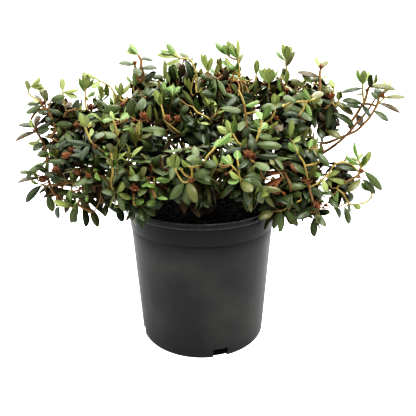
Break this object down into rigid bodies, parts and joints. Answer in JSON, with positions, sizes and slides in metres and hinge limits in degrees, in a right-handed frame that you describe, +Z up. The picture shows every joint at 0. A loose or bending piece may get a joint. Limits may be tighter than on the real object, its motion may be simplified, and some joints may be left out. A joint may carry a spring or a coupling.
{
  "type": "potted rhododendron",
  "caption": "Small-leaved evergreen rhododendron with a low, wide, open crown of whorled leaves on thin boughs, growing from a short trunk in a round black plastic nursery pot.",
  "frame": {"origin": "centre of the pot's flat underside, on the ground", "axes": "+Z up; -Y towards the side that the picture shows; +X to the right of that side, along the crown's widest spread"},
  "size_m": [0.6239, 0.4506, 0.5037],
  "materials": {
    "black_plastic": "satin black moulded plastic with light dust and scuffs",
    "bark_mulch": "loose dark composted bark",
    "bark": "thin rough brown bark",
    "leaves": "smooth dark green leaves, paler beneath, with light green young leaves"
  },
  "bodies": {
    "root": {"bough_back_centre_left": "bark", "bough_back_centre_right": "bark", "bough_back_left": "bark", "bough_back_low_left": "bark", "bough_back_low_right": "bark", "bough_back_right": "bark", "bough_centre": "bark", "bough_front_centre": "bark", "bough_front_high": "bark", "bough_front_left": "bark", "bough_front_right": "bark", "bough_left_far": "bark", "bough_left_low": "bark", "bough_left_mid": "bark", "bough_left_tip": "bark", "bough_left_top": "bark", "bough_mid_left": "bark", "bough_mid_right": "bark", "bough_right_arm_high": "bark", "bough_right_arm_low": "bark", "bough_right_low": "bark", "bough_right_mid": "bark", "bough_right_upper": "bark", "bough_top_centre": "bark", "bough_top_centre_left": "bark", "bough_top_left": "bark", "bough_top_right": "bark", "bough_upper_left": "bark", "foliage_back_centre_left": "leaves", "foliage_back_centre_right": "leaves", "foliage_back_left": "leaves", "foliage_back_low_left": "leaves", "foliage_back_low_right": "leaves", "foliage_back_right": "leaves", "foliage_centre": "leaves", "foliage_front_centre": "leaves", "foliage_front_high": "leaves", "foliage_front_left": "leaves", "foliage_front_right": "leaves", "foliage_left_far": "leaves", "foliage_left_low": "leaves", "foliage_left_mid": "leaves", "foliage_left_tip": "leaves", "foliage_left_top": "leaves", "foliage_mid_left": "leaves", "foliage_mid_right": "leaves", "foliage_right_arm_high": "leaves", "foliage_right_arm_low": "leaves", "foliage_right_low": "leaves", "foliage_right_mid": "leaves", "foliage_right_upper": "leaves", "foliage_top_centre": "leaves", "foliage_top_centre_left": "leaves", "foliage_top_left": "leaves", "foliage_top_right": "leaves", "foliage_upper_left": "leaves", "pot": "black_plastic", "soil": "bark_mulch", "trunk": "bark"}
  },
  "joints": []
}
